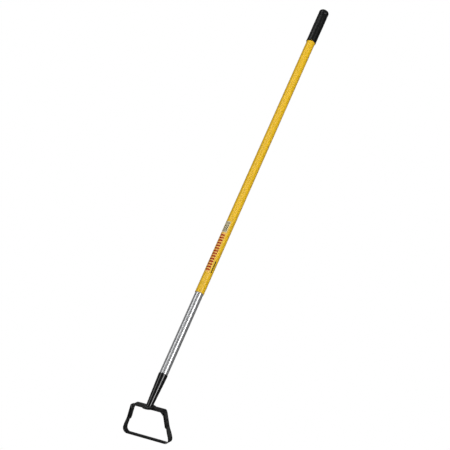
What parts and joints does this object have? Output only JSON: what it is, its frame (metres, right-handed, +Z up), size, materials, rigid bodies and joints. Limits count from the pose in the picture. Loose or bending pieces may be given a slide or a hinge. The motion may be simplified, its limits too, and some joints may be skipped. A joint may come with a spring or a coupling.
{
  "type": "stirrup hoe",
  "caption": "Long-handled push-pull stirrup hoe: a rocking double-edged blade loop pivoted in a forked yoke on a straight sleeved handle.",
  "frame": {"origin": "middle of the blade's sole, the flat underside that lies on the ground", "axes": "+Z up from the ground, X along the blade from side to side, and the handle leans back towards +Y, to the user, by 39 degrees from the vertical"},
  "size_m": [0.155, 0.9352, 1.2018],
  "materials": {
    "handle_tube": "satin",
    "vinyl_sleeve": "gloss",
    "hand_grip": "matte",
    "tube_end_plug": "matte",
    "band_label": "gloss",
    "data_label": "satin",
    "head_enamel": "gloss",
    "blade_enamel": "satin",
    "weld": "satin",
    "pivot_hardware": "satin",
    "socket_rivet": "satin"
  },
  "bodies": {
    "handle_and_yoke": {"handle_tube": "handle_tube", "vinyl_sleeve": "vinyl_sleeve", "hand_grip": "hand_grip", "tube_end_plug": "tube_end_plug", "band_label": "band_label", "data_label": "data_label", "socket": "head_enamel", "socket_rivet": "socket_rivet", "socket_weld": "weld", "yoke": "head_enamel", "pivot_rivet_left": "pivot_hardware", "pivot_rivet_right": "pivot_hardware", "spacer_washer_left": "pivot_hardware", "spacer_washer_right": "pivot_hardware", "rivet_burr_left": "pivot_hardware", "rivet_burr_right": "pivot_hardware", "stop_pin_left": "pivot_hardware", "stop_pin_right": "pivot_hardware"},
    "blade": {"stirrup_blade": "blade_enamel"}
  },
  "joints": [
    {"name": "blade_swing", "type": "hinge", "parent": "handle_and_yoke", "child": "blade", "pos_m": [0, 0, 0.0535], "axis": [1, 0, 0], "range_deg": [-12, 12]}
  ]
}
